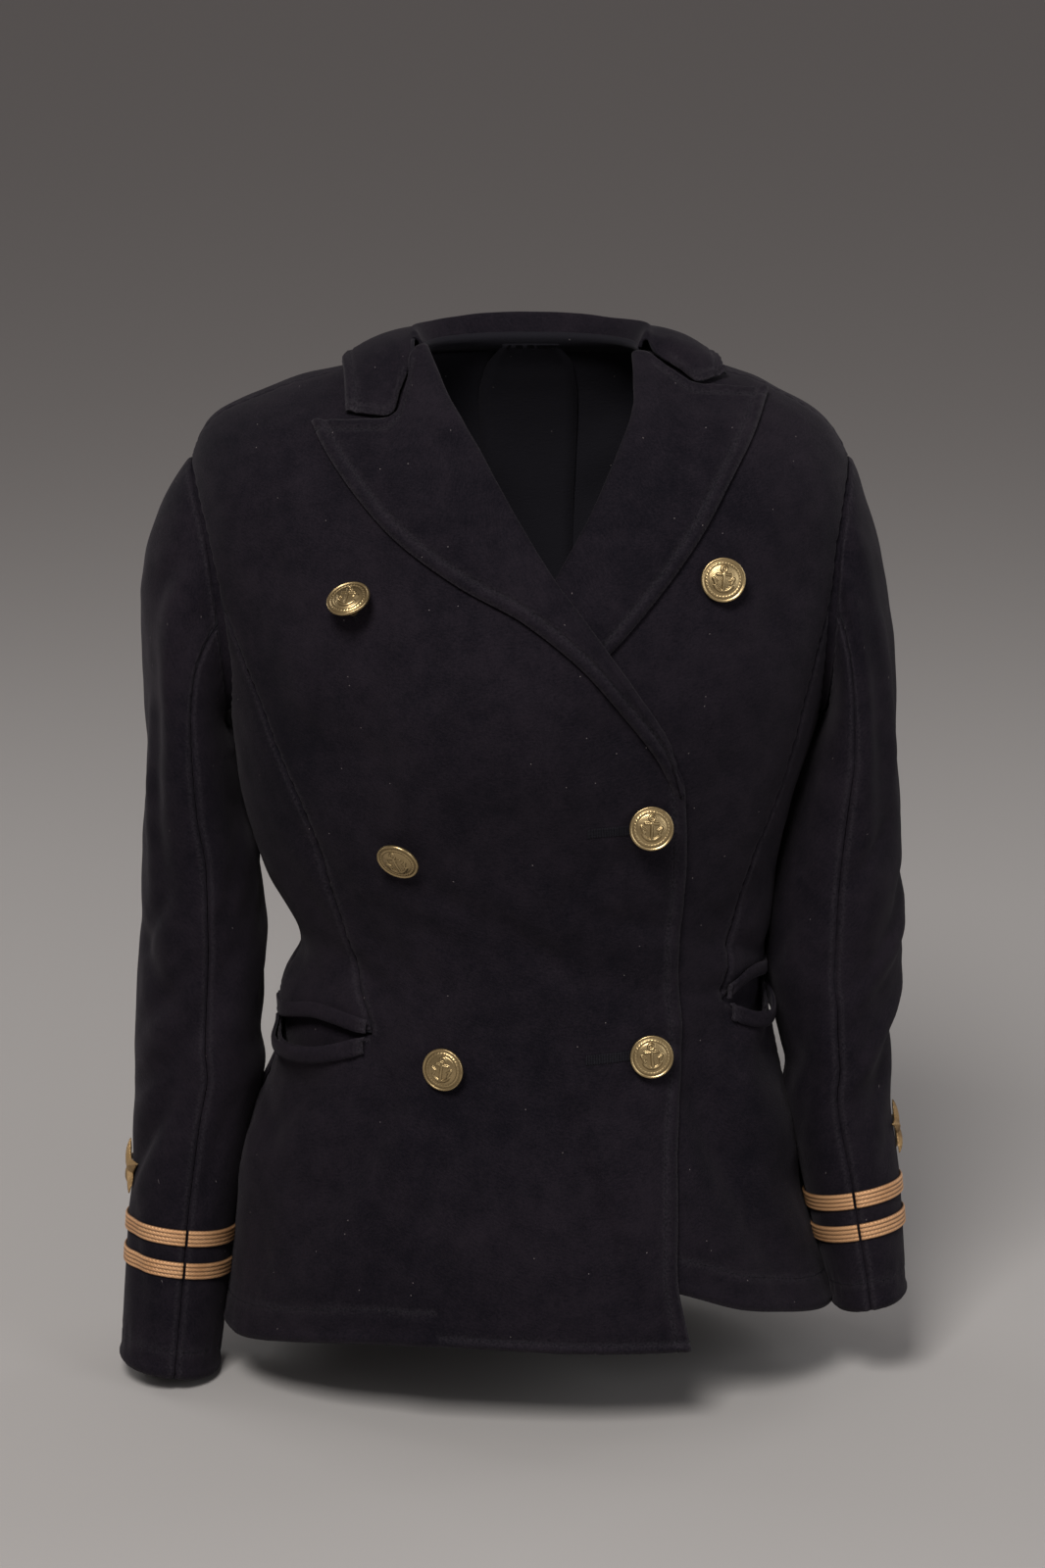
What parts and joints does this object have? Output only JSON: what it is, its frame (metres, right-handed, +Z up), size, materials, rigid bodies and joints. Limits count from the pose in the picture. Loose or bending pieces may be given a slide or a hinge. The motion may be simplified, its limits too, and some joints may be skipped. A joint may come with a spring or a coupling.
{
  "type": "military jacket",
  "caption": "Navy-black double-breasted military jacket in brushed knit, peak lapels, domed brass buttons, gold cuff braid, worn shape with nothing inside.",
  "frame": {"origin": "middle of the neck opening, level with the top of the shoulder seams", "axes": "+Z up through the neck, -Y out of the jacket's front, +X towards the wearer's left"},
  "size_m": [0.4606, 0.2511, 0.6161],
  "materials": {
    "knit": "heavy brushed knit with a short matt nap",
    "brass": "antique brass, worn bright on the raised parts",
    "braid": "ribbed metallic gold braid",
    "bullion": "coiled metallic gold thread"
  },
  "bodies": {
    "root": {"front_right": "knit", "front_left": "knit", "side_front_right": "knit", "side_front_left": "knit", "back_right": "knit", "back_left": "knit", "lapel_right": "knit", "lapel_left": "knit", "collar": "knit", "top_sleeve_right": "knit", "top_sleeve_left": "knit", "under_sleeve_right": "knit", "under_sleeve_left": "knit", "pocket_welt_upper_right": "knit", "pocket_welt_upper_left": "knit", "pocket_welt_lower_right": "knit", "pocket_welt_lower_left": "knit", "pocket_inner_right": "knit", "pocket_inner_left": "knit", "button_1": "brass", "button_2": "brass", "button_3": "brass", "button_4": "brass", "button_5": "brass", "button_6": "brass", "braid_top_right_1": "braid", "braid_top_right_2": "braid", "braid_top_left_1": "braid", "braid_top_left_2": "braid", "braid_under_right_1": "braid", "braid_under_right_2": "braid", "braid_under_left_1": "braid", "braid_under_left_2": "braid", "sleeve_star_right": "bullion", "sleeve_star_left": "bullion"}
  },
  "joints": []
}
